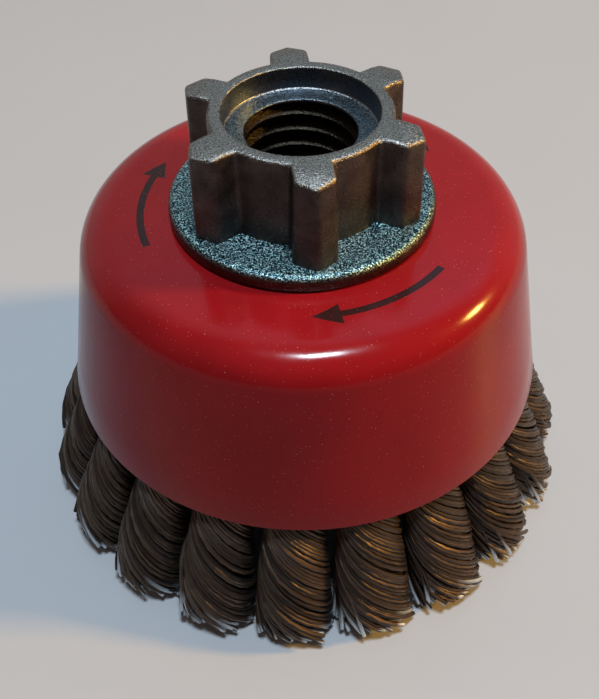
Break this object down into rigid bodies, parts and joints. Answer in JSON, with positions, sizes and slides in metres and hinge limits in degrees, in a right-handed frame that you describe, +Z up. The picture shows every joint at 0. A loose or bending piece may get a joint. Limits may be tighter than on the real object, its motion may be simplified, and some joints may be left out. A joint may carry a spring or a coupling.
{
  "type": "knotted wire cup brush",
  "caption": "Knotted wire cup brush for an angle grinder: flared enamelled cup, ribbed threaded hub with a flange, and a ring of twisted steel wire knots.",
  "frame": {"origin": "on the turning axis, at the plane of the wire tips that the brush stands on", "axes": "+Z up the turning axis, from the wire tips to the top of the threaded hub"},
  "size_m": [0.0694, 0.0694, 0.052],
  "materials": {
    "hub_steel": "blasted and plated, grainy satin",
    "cup_enamel": "glossy red enamel",
    "plated_sheet": "zinc plated, satin",
    "knot_wire": "drawn steel wire, dark oiled"
  },
  "bodies": {
    "root": {"hub_nut": "hub_steel", "cup": "cup_enamel", "knot_holder": "plated_sheet", "retaining_washer": "plated_sheet", "wire_knot_01": "knot_wire", "wire_knot_02": "knot_wire", "wire_knot_03": "knot_wire", "wire_knot_04": "knot_wire", "wire_knot_05": "knot_wire", "wire_knot_06": "knot_wire", "wire_knot_07": "knot_wire", "wire_knot_08": "knot_wire", "wire_knot_09": "knot_wire", "wire_knot_10": "knot_wire", "wire_knot_11": "knot_wire", "wire_knot_12": "knot_wire", "wire_knot_13": "knot_wire", "wire_knot_14": "knot_wire", "wire_knot_15": "knot_wire", "wire_knot_16": "knot_wire", "wire_knot_17": "knot_wire", "wire_knot_18": "knot_wire", "wire_knot_19": "knot_wire", "wire_knot_20": "knot_wire"}
  },
  "joints": []
}
